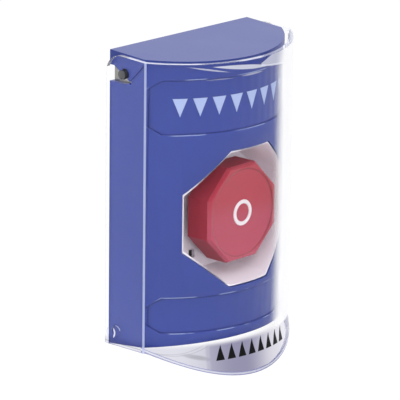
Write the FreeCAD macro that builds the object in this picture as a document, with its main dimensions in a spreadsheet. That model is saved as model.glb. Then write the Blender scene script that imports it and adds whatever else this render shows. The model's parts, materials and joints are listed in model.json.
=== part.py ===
"""Panic button for a wall: moulded housing, octagonal push head and a clear shield that lifts.

Millimetres, +Z up. The wall is the plane y = 0 and the front faces -Y.
The origin is the middle of the two wall screws, on the wall.
"""
import FreeCAD
import Part
import math
import os

import Sketcher
from FreeCAD import Placement, Rotation, Vector

doc = FreeCAD.newDocument("PanicButton")
sheet = doc.addObject("Spreadsheet::Sheet", "sheet")

# Driving dimensions. Heights are measured from the lower back edge of the housing,
# depths from the wall.
SIZES = (
    ("housingWidth", 83.0),
    ("housingHeight", 124.6),
    ("sideDepth", 19.2),
    ("frontDepth", 41.0),
    ("housingWall", 2.5),
    ("topDrop", 2.5),
    ("bottomRise", 4.4),
    ("originHeight", 62.0),
    ("screwSpacing", 83.3),
    ("wallHoleRadius", 2.2),
    ("plateThick", 1.5),
    ("plateGap", 0.35),
    ("plateTop", 119.0),
    ("windowHalf", 20.0),
    ("hingeHeight", 115.6),
    ("hingeDepth", 8.3),
    ("pinRadius", 2.0),
    ("pinHeadRadius", 3.1),
    ("pinHeadThick", 1.2),
    ("pinPlay", 0.05),
    ("fixedPlay", 0.02),
    ("lugDepth", 12.5),
    ("lugHeight", 10.0),
    ("notchBottom", 111.6),
    ("notchTop", 118.4),
    ("notchDepth", 11.6),
    ("notchLip", 2.3),
    ("notchSlant", 2.6),
    ("notchRise", 0.9),
    ("pinHolePlay", 0.3),
    ("earWidth", 18.8),
    ("earTop", 120.8),
    ("earGroove", 0.9),
    ("earStep", 0.5),
    ("shieldGap", 0.65),
    ("shieldFrontGap", 1.7),
    ("shieldWall", 2.0),
    ("shieldTopDrop", 1.3),
    ("shieldBottom", 0.8),
    ("shieldCorner", 8.0),
    ("shieldEdge", 1.2),
    ("boreDepth", 1.5),
    ("tongueDrop", 12.6),
    ("tongueFlare", 1.6),
    ("tongueInset", 1.15),
    ("detentHeight", 6.0),
    ("detentDepth", 4.6),
    ("detentRadius", 2.4),
    ("detentProud", 0.4),
    ("detentSink", 0.5),
    ("openingHalfWidth", 30.6),
    ("openingHalfHeight", 29.0),
    ("openingFlatX", 11.4),
    ("openingFlatZ", 12.4),
    ("buttonHeight", 54.8),
    ("upperPanelBottom", 92.2),
    ("upperPanelTop", 114.9),
    ("lowerPanelBottom", 8.4),
    ("lowerPanelTop", 23.4),
    ("panelHalfWidth", 40.4),
    ("panelChamferX", 3.6),
    ("panelChamferZ", 3.2),
    ("panelRecess", 0.8),
    ("bezelPlay", 0.3),
    ("bezelSink", 0.4),
    ("floorDepth", 19.8),
    ("floorThick", 2.0),
    ("floorHalfWidth", 27.0),
    ("floorHalfHeight", 25.0),
    ("rimHalfWidth", 32.6),
    ("rimHalfHeight", 28.4),
    ("rimDepth", 42.0),
    ("flangeHalf", 33.4),
    ("bossOffset", 28.0),
    ("bossRadius", 3.6),
    ("bezelScrewRadius", 1.25),
    ("bezelScrewLength", 8.0),
    ("screwHeadRadius", 2.4),
    ("screwHeadThick", 1.5),
    ("slotLeft", -6.0),
    ("slotRight", 14.0),
    ("slotBottom", 20.4),
    ("slotTop", 22.6),
    ("keyHoleLeft", -14.6),
    ("keyHoleRight", -10.8),
    ("keyHoleBottom", -20.2),
    ("keyHoleTop", -16.6),
    ("buttonFlats", 40.4),
    ("buttonSet", 4.5),
    ("buttonBevel", 1.8),
    ("crownThick", 2.6),
    ("skirtWall", 2.0),
    ("dishRadius", 18.9),
    ("dishDepth", 0.5),
    ("dishEdge", 0.7),
    ("buttonTravel", 4.0),
    ("travelPlay", 0.3),
    ("markRadius", 5.4),
    ("markWidth", 1.5),
    ("markProud", 0.35),
    ("stemRadius", 5.0),
    ("stemPlay", 0.05),
    ("socketRadius", 7.0),
    ("socketLength", 3.6),
    ("barrelRadius", 11.0),
    ("barrelPlay", 0.1),
    ("collarRadius", 14.0),
    ("collarThick", 2.0),
    ("guideLength", 3.6),
    ("pusherRadius", 9.0),
    ("pusherThick", 1.5),
    ("pusherPlay", 0.3),
    ("nutFlats", 28.0),
    ("nutThick", 2.4),
    ("carrierWidth", 30.0),
    ("carrierTall", 36.0),
    ("carrierThick", 3.4),
    ("carrierPlay", 0.2),
    ("barrelSet", 0.8),
    ("blockDepth", 9.9),
    ("blockWidth", 12.0),
    ("blockTall", 36.0),
    ("blockOffset", 6.2),
    ("blockWall", 1.2),
    ("plungerRadius", 2.0),
    ("plungerPlay", 0.08),
    ("plungerReach", 4.6),
    ("neckRadius", 1.2),
    ("gasketThick", 0.8),
    ("gasketRadius", 13.6),
    ("blockBackWall", 0.8),
    ("contactSpringRadius", 1.9),
    ("contactSpringWire", 0.35),
    ("contactSpringTurns", 3.0),
    ("riserHeight", 8.0),
    ("ledgeHeight", 9.1),
    ("ledgeSet", 7.2),
    ("bridgeHalf", 7.4),
    ("bridgeWidth", 5.0),
    ("bridgeThick", 0.6),
    ("bridgeSet", 2.9),
    ("contactGap", 0.3),
    ("contactThick", 0.8),
    ("contactInner", 5.6),
    ("contactOuter", 17.0),
    ("contactWidth", 5.4),
    ("terminalScrewHeight", 13.6),
    ("terminalScrewRadius", 1.3),
    ("terminalHeadRadius", 2.3),
    ("terminalHeadThick", 1.3),
    ("terminalShankLength", 5.0),
    ("accessPlay", 0.2),
    ("springWire", 1.2),
    ("springRadius", 8.2),
    ("springTurns", 4.0),
    ("springRuns", 10.0),
    ("plateBottom", 4.4),
    ("tabHalfWidth", 26.0),
    ("tabDepth", 13.0),
    ("coverScrewOffset", 18.0),
    ("coverScrewDepth", 7.5),
    ("coverScrewRadius", 1.5),
    ("coverHeadRadius", 2.9),
    ("coverHeadThick", 1.6),
    ("coverSeat", 2.6),
    ("coverScrewTop", 9.0),
)
for row, (alias, number) in enumerate(SIZES, start=1):
    sheet.set("A%d" % row, alias)
    sheet.set("B%d" % row, str(number))
    sheet.setAlias("B%d" % row, alias)
doc.recompute()


class Size:
    """A number of the sheet, or a sum of such numbers, with the expression that gives it."""

    def __init__(self, value, text):
        self.value = float(value)
        self.text = text

    @staticmethod
    def of(other):
        return other if isinstance(other, Size) else Size(other, repr(float(other)))

    def __add__(self, other):
        other = Size.of(other)
        return Size(self.value + other.value, "(%s + %s)" % (self.text, other.text))

    def __sub__(self, other):
        other = Size.of(other)
        return Size(self.value - other.value, "(%s - %s)" % (self.text, other.text))

    def __mul__(self, other):
        other = Size.of(other)
        return Size(self.value * other.value, "(%s * %s)" % (self.text, other.text))

    def __truediv__(self, other):
        other = Size.of(other)
        return Size(self.value / other.value, "(%s / %s)" % (self.text, other.text))

    def __neg__(self):
        return Size(-self.value, "(0 - %s)" % self.text)

    def __radd__(self, other):
        return Size.of(other) + self

    def __rsub__(self, other):
        return Size.of(other) - self

    def __rmul__(self, other):
        return Size.of(other) * self

    def root(self):
        return Size(math.sqrt(self.value), "sqrt(%s)" % self.text)


def cell(alias):
    return Size(sheet.get(alias), "sheet.%s" % alias)


def level(height):
    """A height above the housing's lower edge, as a height in the part's own frame."""
    return height - cell("originHeight")


def newBody(name):
    body = doc.addObject("PartDesign::Body", name)
    body.Label = name
    return body


def bind(target, prop, size):
    target.setExpression(prop, Size.of(size).text)


def place(target, x=0, y=0, z=0, rotation=None):
    x, y, z = Size.of(x), Size.of(y), Size.of(z)
    target.Placement = Placement(Vector(x.value, y.value, z.value), rotation or Rotation())
    bind(target, "Placement.Base.x", x)
    bind(target, "Placement.Base.y", y)
    bind(target, "Placement.Base.z", z)


def newSketch(body, role, name, offset=None):
    """A sketch on one of the body's own planes. On XZ_Plane the offset is a depth from the wall."""
    sketch = body.newObject("Sketcher::SketchObject", name)
    plane = [feature for feature in body.Origin.OriginFeatures if feature.Role == role][0]
    sketch.AttachmentSupport = (plane, [""])
    sketch.MapMode = "FlatFace"
    if offset is not None:
        offset = Size.of(offset)
        sketch.AttachmentOffset = Placement(Vector(0, 0, offset.value), Rotation())
        bind(sketch, "AttachmentOffset.Base.z", offset)
    return sketch


def dimension(sketch, kind, arguments, size):
    index = sketch.addConstraint(Sketcher.Constraint(kind, *arguments, size.value))
    label = "size%d" % index
    sketch.renameConstraint(index, label)
    bind(sketch, "Constraints." + label, size)


def fixPoint(sketch, geometry, end, x, y):
    for kind, size, axis in (("DistanceX", Size.of(x), -2), ("DistanceY", Size.of(y), -1)):
        if abs(size.value) < 1e-9:
            sketch.addConstraint(Sketcher.Constraint("PointOnObject", geometry, end, axis))
        else:
            dimension(sketch, kind, (-1, 1, geometry, end), size)


def arcThrough(start, stop, centre, radius, turn):
    first = math.atan2(start.y - centre.y, start.x - centre.x)
    last = math.atan2(stop.y - centre.y, stop.x - centre.x)
    while turn * (last - first) <= 0:
        last += turn * 2 * math.pi
    middle = (first + last) / 2
    crown = centre + Vector(radius * math.cos(middle), radius * math.sin(middle), 0)
    return Part.Arc(start, crown, stop)


def drawOutline(sketch, corners):
    """A closed outline. A corner is (x, y), or (x, y, centre x, centre y, radius, turn)
    where an arc runs from it to the next corner, turn +1 being anticlockwise."""
    points = [Vector(Size.of(c[0]).value, Size.of(c[1]).value, 0) for c in corners]
    ends = []
    for index, corner in enumerate(corners):
        start = points[index]
        stop = points[(index + 1) % len(points)]
        if len(corner) == 2:
            geometry = sketch.addGeometry(Part.LineSegment(start, stop))
            ends.append((geometry, 1, 2))
            continue
        centre = Vector(Size.of(corner[2]).value, Size.of(corner[3]).value, 0)
        radius = Size.of(corner[4])
        geometry = sketch.addGeometry(arcThrough(start, stop, centre, radius.value, corner[5]))
        ends.append((geometry, 1, 2) if corner[5] > 0 else (geometry, 2, 1))
    for index, (geometry, begin, finish) in enumerate(ends):
        following = ends[(index + 1) % len(ends)]
        sketch.addConstraint(Sketcher.Constraint(
            "Coincident", geometry, finish, following[0], following[1]))
    for corner, (geometry, begin, finish) in zip(corners, ends):
        fixPoint(sketch, geometry, begin, corner[0], corner[1])
        if len(corner) > 2:
            dimension(sketch, "Radius", (geometry,), Size.of(corner[4]))


def drawCircle(sketch, x, y, radius):
    x, y, radius = Size.of(x), Size.of(y), Size.of(radius)
    circle = Part.Circle(Vector(x.value, y.value, 0), Vector(0, 0, 1), radius.value)
    geometry = sketch.addGeometry(circle)
    fixPoint(sketch, geometry, 3, x, y)
    dimension(sketch, "Radius", (geometry,), radius)


def drawSided(sketch, x, y, radius, sides):
    """A regular outline of few sides, for the small holes that nobody sees round."""
    x, y, radius = Size.of(x), Size.of(y), Size.of(radius)
    turn = 2 * math.pi / sides
    drawOutline(sketch, [(x + radius * math.cos(turn * index), y + radius * math.sin(turn * index))
                         for index in range(sides)])


def drawBox(sketch, left, right, low, high):
    drawOutline(sketch, ((left, low), (right, low), (right, high), (left, high)))


def grow(body, kind, sketch, length, name, reverse=False, both=False):
    """A Pad or Pocket of the sketch. A Pad goes along the plane's normal, a Pocket against it."""
    feature = body.newObject("PartDesign::" + kind, name)
    feature.Profile = sketch
    length = Size.of(length)
    feature.Length = length.value
    bind(feature, "Length", length)
    feature.Reversed = reverse
    if both:
        feature.SideType = "Symmetric"
    doc.recompute()
    return feature


def spin(body, kind, sketch, name, axis="H_Axis"):
    feature = body.newObject("PartDesign::" + kind, name)
    feature.Profile = sketch
    feature.ReferenceAxis = (sketch, [axis])
    feature.Angle = 360
    doc.recompute()
    return feature


def loft(body, kind, sketches, name):
    feature = body.newObject("PartDesign::" + kind, name)
    feature.Profile = sketches[0]
    feature.Sections = sketches[1:]
    feature.Ruled = True
    doc.recompute()
    return feature


def turned(name, outline, place_z=None):
    """A piece turned about the push axis: the outline is (y, radius) points."""
    body = newBody(name)
    sketch = newSketch(body, "YZ_Plane", name + "Outline")
    drawOutline(sketch, outline)
    spin(body, "Revolution", sketch, name + "Turn")
    place(body, z=place_z if place_z is not None else pushAxis)
    return body


nodes = []


def keep(piece, name):
    piece.Label = name
    nodes.append((name, piece))
    return piece


# Values that several pieces share.
halfWidth = cell("housingWidth") / 2
sideDepth = cell("sideDepth")
frontDepth = cell("frontDepth")
wall = cell("housingWall")
frontBulge = frontDepth - sideDepth
frontRadius = (halfWidth * halfWidth + frontBulge * frontBulge) / (2 * frontBulge)
arcCentre = frontRadius - frontDepth
housingLow = level(0)
housingHigh = level(cell("housingHeight"))
pushAxis = level(cell("buttonHeight"))
hingeZ = level(cell("hingeHeight"))
hingeY = -cell("hingeDepth")
floorDepth = cell("floorDepth")
floorBack = floorDepth - cell("floorThick")
beyond = 3.0
holeSides = 8
headSides = 10
boreSides = 24


def depthOutline(inset, radius, back):
    """The D-shaped plan: straight sides from the wall and one round front."""
    half = halfWidth - inset
    corner = arcCentre - (radius * radius - half * half).root()
    return ((-half, back), (half, back), (half, corner, 0, arcCentre, radius, -1), (-half, corner))


def arcDepth(radius, x):
    return arcCentre - (radius * radius - x * x).root()


def plainForm(name, inset, low, high, back):
    """A D-shaped block whose foot rises and whose top falls towards the front."""
    body = newBody(name)
    sketch = newSketch(body, "XY_Plane", name + "Plan", low)
    drawOutline(sketch, depthOutline(inset, frontRadius - inset, back))
    grow(body, "Pad", sketch, high - low, name + "Pad")
    far = -(frontDepth + beyond)
    slope = (frontDepth + beyond) / frontDepth
    cut = newSketch(body, "YZ_Plane", name + "Slopes")
    drawOutline(cut, ((0, high), (far, high - cell("topDrop") * slope), (far, high + beyond),
                      (0, high + beyond)))
    drawOutline(cut, ((0, low), (0, low - beyond), (far, low - beyond),
                      (far, low + cell("bottomRise") * slope)))
    grow(body, "Pocket", cut, 2 * halfWidth + beyond, name + "Slope", both=True)
    return body


def octagonPoints(halfX, halfZ, flatX, flatZ):
    return ((-flatX, -halfZ), (flatX, -halfZ), (halfX, -flatZ), (halfX, flatZ),
            (flatX, halfZ), (-flatX, halfZ), (-halfX, flatZ), (-halfX, -flatZ))


def fuse(name, pieces):
    joined = doc.addObject("Part::MultiFuse", name)
    joined.Shapes = pieces
    return joined


def common(name, pieces):
    shared = doc.addObject("Part::MultiCommon", name)
    shared.Shapes = pieces
    return shared


def cut(name, base, tool):
    result = doc.addObject("Part::Cut", name)
    result.Base = base
    result.Tool = tool
    return result


def rod(name, radius, y0, y1, x, z, sides=holeSides):
    """A bar of few sides along Y from y0 to the larger y1, for screws and their holes."""
    bar = doc.addObject("Part::Prism", name)
    bar.Polygon = sides
    bind(bar, "Circumradius", radius)
    bind(bar, "Height", Size.of(y1) - Size.of(y0))
    place(bar, x, y0, z, Rotation(Vector(1, 0, 0), -90))
    return bar


def post(name, radius, z0, z1, x, y, sides=holeSides):
    bar = doc.addObject("Part::Prism", name)
    bar.Polygon = sides
    bind(bar, "Circumradius", radius)
    bind(bar, "Height", Size.of(z1) - Size.of(z0))
    place(bar, x, y, z0)
    return bar


def upright(name, radius, z0, z1, x, y):
    bar = doc.addObject("Part::Cylinder", name)
    bind(bar, "Radius", radius)
    bind(bar, "Height", Size.of(z1) - Size.of(z0))
    place(bar, x, y, z0)
    return bar


# Housing: one moulding with a round front, two label recesses and an octagonal opening.
def labelCutter(name, low, high):
    """A shallow recess with clipped corners that follows the round front."""
    slab = newBody(name + "Slab")
    sketch = newSketch(slab, "XZ_Plane", name + "Shape", sideDepth)
    half, clipX, clipZ = cell("panelHalfWidth"), cell("panelChamferX"), cell("panelChamferZ")
    drawOutline(sketch, (
        (-half + clipX, low), (half - clipX, low), (half, low + clipZ), (half, high - clipZ),
        (half - clipX, high), (-half + clipX, high), (-half, high - clipZ), (-half, low + clipZ)))
    grow(slab, "Pad", sketch, frontBulge + beyond, name + "Pad")
    outer = upright(name + "Outer", frontRadius + beyond, low - 1, high + 1, 0, arcCentre)
    inner = upright(name + "Inner", frontRadius - cell("panelRecess"), low - 1, high + 1, 0, arcCentre)
    ring = cut(name + "Ring", outer, inner)
    return common(name, [slab, ring])


def makeHousing():
    outer = plainForm("housingOuter", 0 * wall, housingLow, housingHigh, Size.of(0))
    inner = plainForm("housingInner", wall, housingLow + wall, housingHigh - wall, Size.of(beyond))
    shell = cut("housingShell", outer, inner)

    posts = newBody("housingPosts")
    sketch = newSketch(posts, "XZ_Plane", "postPlan", floorDepth)
    offset = cell("bossOffset")
    for x in (-offset, offset):
        for z in (-offset, offset):
            drawSided(sketch, x, pushAxis + z, cell("bossRadius"), holeSides)
    grow(posts, "Pad", sketch, frontBulge, "postPad")
    bossed = fuse("housingBossed", [shell, common("housingBosses", [outer, posts])])

    holes = newBody("housingHoles")
    octagon = newSketch(holes, "XZ_Plane", "openingShape", floorDepth)
    points = octagonPoints(cell("openingHalfWidth"), cell("openingHalfHeight"),
                           cell("openingFlatX"), cell("openingFlatZ"))
    drawOutline(octagon, [(x, pushAxis + z) for x, z in points])
    grow(holes, "Pad", octagon, frontDepth, "openingPad")

    notch = newBody("housingNotch")
    side = newSketch(notch, "YZ_Plane", "notchShape")
    low, high = level(cell("notchBottom")), level(cell("notchTop"))
    tip = (-cell("notchDepth"), low + cell("notchRise"))
    drawOutline(side, ((beyond, low), (tip[0] + cell("notchSlant"), low), tip,
                       (-cell("notchLip"), high), (beyond, high)))
    grow(notch, "Pad", side, 2 * halfWidth + beyond, "notchPad", both=True)
    pinHoles = newSketch(notch, "YZ_Plane", "pinHoleShape")
    drawCircle(pinHoles, hingeY, hingeZ, cell("pinRadius") + cell("pinHolePlay"))
    grow(notch, "Pad", pinHoles, 2 * halfWidth + beyond, "pinHolePad", both=True)
    for name, sign in (("Right", 1), ("Left", -1)):
        groove = newSketch(notch, "YZ_Plane", "ear" + name, sign * (halfWidth - cell("earStep")))
        ridge = (-cell("earWidth"), level(cell("earTop")))
        mouth = (tip[0] + cell("earGroove"), tip[1] + cell("earGroove") / 9)
        drawOutline(groove, (mouth, (tip[0], tip[1] - cell("earGroove")),
                             (ridge[0] - cell("earGroove"), ridge[1]), ridge))
        grow(notch, "Pad", groove, beyond, "earPad" + name, reverse=sign < 0)
        dimple = newSketch(notch, "YZ_Plane", "dimple" + name,
                           sign * (halfWidth - cell("detentSink")))
        drawCircle(dimple, -cell("detentDepth"), level(cell("detentHeight")),
                   cell("detentRadius") + cell("bezelPlay"))
        grow(notch, "Pad", dimple, beyond, "dimplePad" + name, reverse=sign < 0)

    pilots = []
    for index, (x, z) in enumerate(((-1, -1), (1, -1), (-1, 1), (1, 1))):
        pilots.append(rod("bezelPilot%d" % index, cell("bezelScrewRadius") + cell("fixedPlay"),
                          -(floorDepth + cell("bezelScrewLength") - 1), -floorDepth + 1,
                          x * offset, pushAxis + z * offset))
    for index, x in enumerate((-1, 1)):
        place_x = x * cell("coverScrewOffset")
        place_y = -cell("coverScrewDepth")
        pilots.append(post("coverHole%d" % index, cell("coverScrewRadius") + cell("barrelPlay"),
                           housingLow - 1, housingLow + wall + beyond, place_x, place_y))
        pilots.append(upright("coverSink%d" % index, cell("coverHeadRadius") + cell("barrelPlay"),
                              housingLow - 1, housingLow + cell("coverSeat"), place_x, place_y))
    cutters = [holes, notch] + pilots
    cutters.append(labelCutter("upperLabel", level(cell("upperPanelBottom")),
                               level(cell("upperPanelTop"))))
    cutters.append(labelCutter("lowerLabel", level(cell("lowerPanelBottom")),
                               level(cell("lowerPanelTop"))))
    return cut("housing", bossed, fuse("housingCutters", cutters))


keep(makeHousing(), "housing")


def makeShield():
    """The clear cover: a D-shaped wall, open above and behind, with a flared lift tongue."""
    body = newBody("shieldBody")
    innerHalf = halfWidth + cell("shieldGap")
    outerHalf = innerHalf + cell("shieldWall")
    innerRadius = frontRadius + cell("shieldFrontGap")
    outerRadius = innerRadius + cell("shieldWall")
    back = cell("shieldCorner") - cell("hingeDepth")
    low = level(cell("shieldBottom"))
    top = hingeZ + cell("shieldCorner")

    def roundedSide(half, radius, edge):
        """Where a side's rounded edge starts and where it meets the front."""
        start = arcDepth(radius - edge, half - edge)
        share = radius / (radius - edge)
        return start, (half - edge) * share, arcCentre + (start - arcCentre) * share

    def ring(name, offset, flare):
        sketch = newSketch(body, "XY_Plane", name, offset)
        outer, inner = outerRadius + flare, innerRadius + flare
        inside = cell("shieldEdge")
        outside = inside + cell("shieldWall")
        outerStart, outerX, outerY = roundedSide(outerHalf, outer, outside)
        innerStart, innerX, innerY = roundedSide(innerHalf, inner, inside)
        drawOutline(sketch, (
            (-outerHalf, back), (-outerHalf, outerStart, outside - outerHalf, outerStart, outside, 1),
            (-outerX, outerY, 0, arcCentre, outer, 1),
            (outerX, outerY, outerHalf - outside, outerStart, outside, 1), (outerHalf, outerStart),
            (outerHalf, back), (innerHalf, back),
            (innerHalf, innerStart, innerHalf - inside, innerStart, inside, -1),
            (innerX, innerY, 0, arcCentre, inner, -1),
            (-innerX, innerY, inside - innerHalf, innerStart, inside, -1),
            (-innerHalf, innerStart), (-innerHalf, back)))
        return sketch

    grow(body, "Pad", ring("shieldPlan", low, 0 * wall), top - low + 1, "shieldWalls")
    drop = cell("tongueDrop")
    loft(body, "AdditiveLoft", [ring("tongueTop", low, 0 * wall),
                                ring("tongueFoot", low - drop - 1, cell("tongueFlare"))], "tongue")
    half = outerHalf - cell("tongueInset")
    curve = (half * half + drop * drop) / (2 * drop)
    wide = outerHalf + beyond
    foot = low - drop - 2 * beyond
    trim = newSketch(body, "XZ_Plane", "tongueShape")
    drawOutline(trim, ((-wide, low), (-half, low, 0, low - drop + curve, curve, 1), (half, low),
                       (wide, low), (wide, foot), (-wide, foot)))
    grow(body, "Pocket", trim, 2 * frontDepth + 4 * beyond, "tongueTrim", both=True)
    far = -(frontDepth + 3 * beyond)
    crest = newSketch(body, "YZ_Plane", "crestShape")
    drawOutline(crest, ((beyond, hingeZ), (back, hingeZ, hingeY, hingeZ, cell("shieldCorner"), 1),
                        (hingeY, top), (far, top - cell("shieldTopDrop")), (far, top + beyond),
                        (beyond, top + beyond)))
    grow(body, "Pocket", crest, 2 * wide, "crestTrim", both=True)
    bore = newSketch(body, "YZ_Plane", "boreShape")
    drawCircle(bore, hingeY, hingeZ, cell("pinRadius") + cell("pinPlay"))
    grow(body, "Pocket", bore, 2 * (innerHalf + cell("boreDepth")), "pinBores", both=True)
    for name, side in (("Right", 1), ("Left", -1)):
        stud = newSketch(body, "YZ_Plane", "stud" + name,
                         side * (innerHalf - cell("detentProud")))
        drawCircle(stud, -cell("detentDepth"), level(cell("detentHeight")), cell("detentRadius"))
        grow(body, "Pad", stud, cell("detentProud") + cell("shieldWall") / 2, "studPad" + name,
             reverse=side < 0)
    return body


keep(makeShield(), "shield")


def makePlate():
    """Steel plate on the wall, with hinge lugs, a foot tab, screw holes and a cable window."""
    body = newBody("plateBody")
    thick = cell("plateThick")
    half = halfWidth - wall - cell("plateGap")
    low, high = level(cell("plateBottom")), level(cell("plateTop"))
    sheetPlan = newSketch(body, "XZ_Plane", "plateShape")
    drawBox(sheetPlan, -half, half, low, high)
    grow(body, "Pad", sheetPlan, thick, "platePad")
    for name, side in (("Right", 1), ("Left", -1)):
        lug = newSketch(body, "YZ_Plane", "lug" + name, side * half)
        drawBox(lug, -cell("lugDepth"), 0, high - cell("lugHeight"), high)
        grow(body, "Pad", lug, thick, "lugPad" + name, reverse=side > 0)
    tab = newSketch(body, "XY_Plane", "tabShape", low)
    drawBox(tab, -cell("tabHalfWidth"), cell("tabHalfWidth"), -cell("tabDepth"), 0)
    grow(body, "Pad", tab, thick, "tabPad")
    holes = newSketch(body, "XZ_Plane", "wallHoles")
    for z in (-cell("screwSpacing") / 2, cell("screwSpacing") / 2):
        drawCircle(holes, 0, z, cell("wallHoleRadius"))
    window = cell("windowHalf")
    drawBox(holes, -window, window, pushAxis - window, pushAxis + window)
    grow(body, "Pocket", holes, thick + 1, "wallHoleCut", reverse=True)
    pins = newSketch(body, "YZ_Plane", "lugHoles")
    drawCircle(pins, hingeY, hingeZ, cell("pinRadius") + cell("fixedPlay"))
    grow(body, "Pocket", pins, 2 * halfWidth, "lugHoleCut", both=True)
    threads = newSketch(body, "XY_Plane", "tabHoles", low + thick + 1)
    for x in (-cell("coverScrewOffset"), cell("coverScrewOffset")):
        drawSided(threads, x, -cell("coverScrewDepth"), cell("coverScrewRadius") + cell("fixedPlay"),
                  holeSides)
    grow(body, "Pocket", threads, thick + 2, "tabHoleCut")
    return body


keep(makePlate(), "back_plate")


def makePin(name, side):
    """Hinge pin riveted in its lug; its free end stands in the shield's blind bore."""
    body = newBody(name)
    lugInside = halfWidth - wall - cell("plateGap") - cell("plateThick")
    tip = halfWidth + cell("shieldGap") + cell("boreDepth") - cell("plateGap")
    sketch = newSketch(body, "XY_Plane", name + "Outline")
    drawOutline(sketch, (
        (lugInside - cell("pinHeadThick"), 0), (tip, 0), (tip, cell("pinRadius")),
        (lugInside, cell("pinRadius")), (lugInside, cell("pinHeadRadius")),
        (lugInside - cell("pinHeadThick"), cell("pinHeadRadius"))))
    spin(body, "Revolution", sketch, name + "Turn")
    place(body, 0, hingeY, hingeZ, Rotation(Vector(0, 0, 1), 0 if side > 0 else 180))
    return body


keep(makePin("pinRight", 1), "hinge_pin_right")
keep(makePin("pinLeft", -1), "hinge_pin_left")


def makeBezel():
    """Pale funnel behind the opening: eight sloping walls, a floor and a screwed flange."""
    body = newBody("bezelBody")
    play = cell("bezelPlay")
    shrink = 1 - play / cell("openingHalfHeight")
    solid = newSketch(body, "XZ_Plane", "bezelShape", floorBack)
    outer = octagonPoints(cell("openingHalfWidth"), cell("openingHalfHeight"),
                          cell("openingFlatX"), cell("openingFlatZ"))
    drawOutline(solid, [(x * shrink, z * shrink) for x, z in outer])
    grow(body, "Pad", solid, frontDepth - floorBack + beyond, "bezelPad")
    flange = newSketch(body, "XZ_Plane", "flangeShape", floorBack)
    half = cell("flangeHalf")
    drawBox(flange, -half, half, -half, half)
    grow(body, "Pad", flange, cell("floorThick"), "flangePad")
    radius = frontRadius - cell("bezelSink")
    edge = arcDepth(radius, half)
    far = -(frontDepth + 2 * beyond)
    front = newSketch(body, "XY_Plane", "rimShape")
    drawOutline(front, ((-half, edge, 0, arcCentre, radius, 1), (half, edge), (half, far),
                        (-half, far)))
    grow(body, "Pocket", front, 3 * half, "rimTrim", both=True)
    share = cell("floorHalfHeight") / cell("openingHalfHeight")
    floor = newSketch(body, "XZ_Plane", "funnelFloor", floorDepth)
    drawOutline(floor, octagonPoints(cell("floorHalfWidth"), cell("floorHalfHeight"),
                                     cell("openingFlatX") * share, cell("openingFlatZ") * share))
    rim = newSketch(body, "XZ_Plane", "funnelRim", cell("rimDepth"))
    drawOutline(rim, octagonPoints(cell("rimHalfWidth"), cell("rimHalfHeight"),
                                   cell("openingFlatX"), cell("openingFlatZ")))
    loft(body, "SubtractiveLoft", [floor, rim], "funnel")
    holes = newSketch(body, "XZ_Plane", "bezelHoles", floorBack)
    drawCircle(holes, 0, 0, cell("barrelRadius") + cell("barrelPlay"))
    offset = cell("bossOffset")
    for x in (-offset, offset):
        for z in (-offset, offset):
            drawSided(holes, x, z, cell("bezelScrewRadius") + cell("barrelPlay"), holeSides)
    drawBox(holes, cell("slotLeft"), cell("slotRight"), cell("slotBottom"), cell("slotTop"))
    drawBox(holes, cell("keyHoleLeft"), cell("keyHoleRight"), cell("keyHoleBottom"),
            cell("keyHoleTop"))
    grow(body, "Pocket", holes, cell("floorThick"), "bezelHoleCut", reverse=True)
    place(body, z=pushAxis)
    return body


keep(makeBezel(), "bezel")


def makeBezelScrews():
    screws = []
    offset = cell("bossOffset")
    for index, (x, z) in enumerate(((-1, -1), (1, -1), (-1, 1), (1, 1))):
        centre = (x * offset, pushAxis + z * offset)
        shank = rod("bezelShank%d" % index, cell("bezelScrewRadius"),
                    -(floorBack + cell("bezelScrewLength")), -floorBack, *centre)
        head = rod("bezelHead%d" % index, cell("screwHeadRadius"), -floorBack,
                   -floorBack + cell("screwHeadThick"), *centre, sides=headSides)
        screws += [shank, head]
    return fuse("bezelScrews", screws)


keep(makeBezelScrews(), "bezel_screws")


def makeCoverScrews():
    screws = []
    seat = housingLow + cell("coverSeat")
    for index, side in enumerate((-1, 1)):
        centre = (side * cell("coverScrewOffset"), -cell("coverScrewDepth"))
        screws.append(post("coverShank%d" % index, cell("coverScrewRadius"), seat,
                           level(cell("coverScrewTop")), *centre))
        screws.append(post("coverHead%d" % index, cell("coverHeadRadius"),
                           seat - cell("coverHeadThick"), seat, *centre, sides=2 * holeSides))
    return fuse("coverScrews", screws)


keep(makeCoverScrews(), "cover_screws")

buttonFace = frontDepth - cell("buttonSet")
buttonHalf = cell("buttonFlats") / 2
octagonShare = math.tan(math.pi / 8)
crownBack = buttonFace - cell("crownThick")
skirtEnd = floorDepth + cell("buttonTravel") + cell("travelPlay")
collarFront = floorDepth + cell("gasketThick") + cell("collarThick")
shoulder = collarFront - cell("guideLength")
pusherFront = shoulder - cell("pusherPlay")
pusherBack = pusherFront - cell("pusherThick")
carrierFront = floorBack - cell("nutThick") - cell("carrierPlay")
blockFront = carrierFront - cell("carrierThick")
blockBack = blockFront - cell("blockDepth")
ledgeDepth = blockFront - cell("ledgeSet")
barrelEnd = blockFront + cell("barrelSet")


def regularOctagon(sketch, half):
    drawOutline(sketch, octagonPoints(half, half, half * octagonShare, half * octagonShare))


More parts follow.
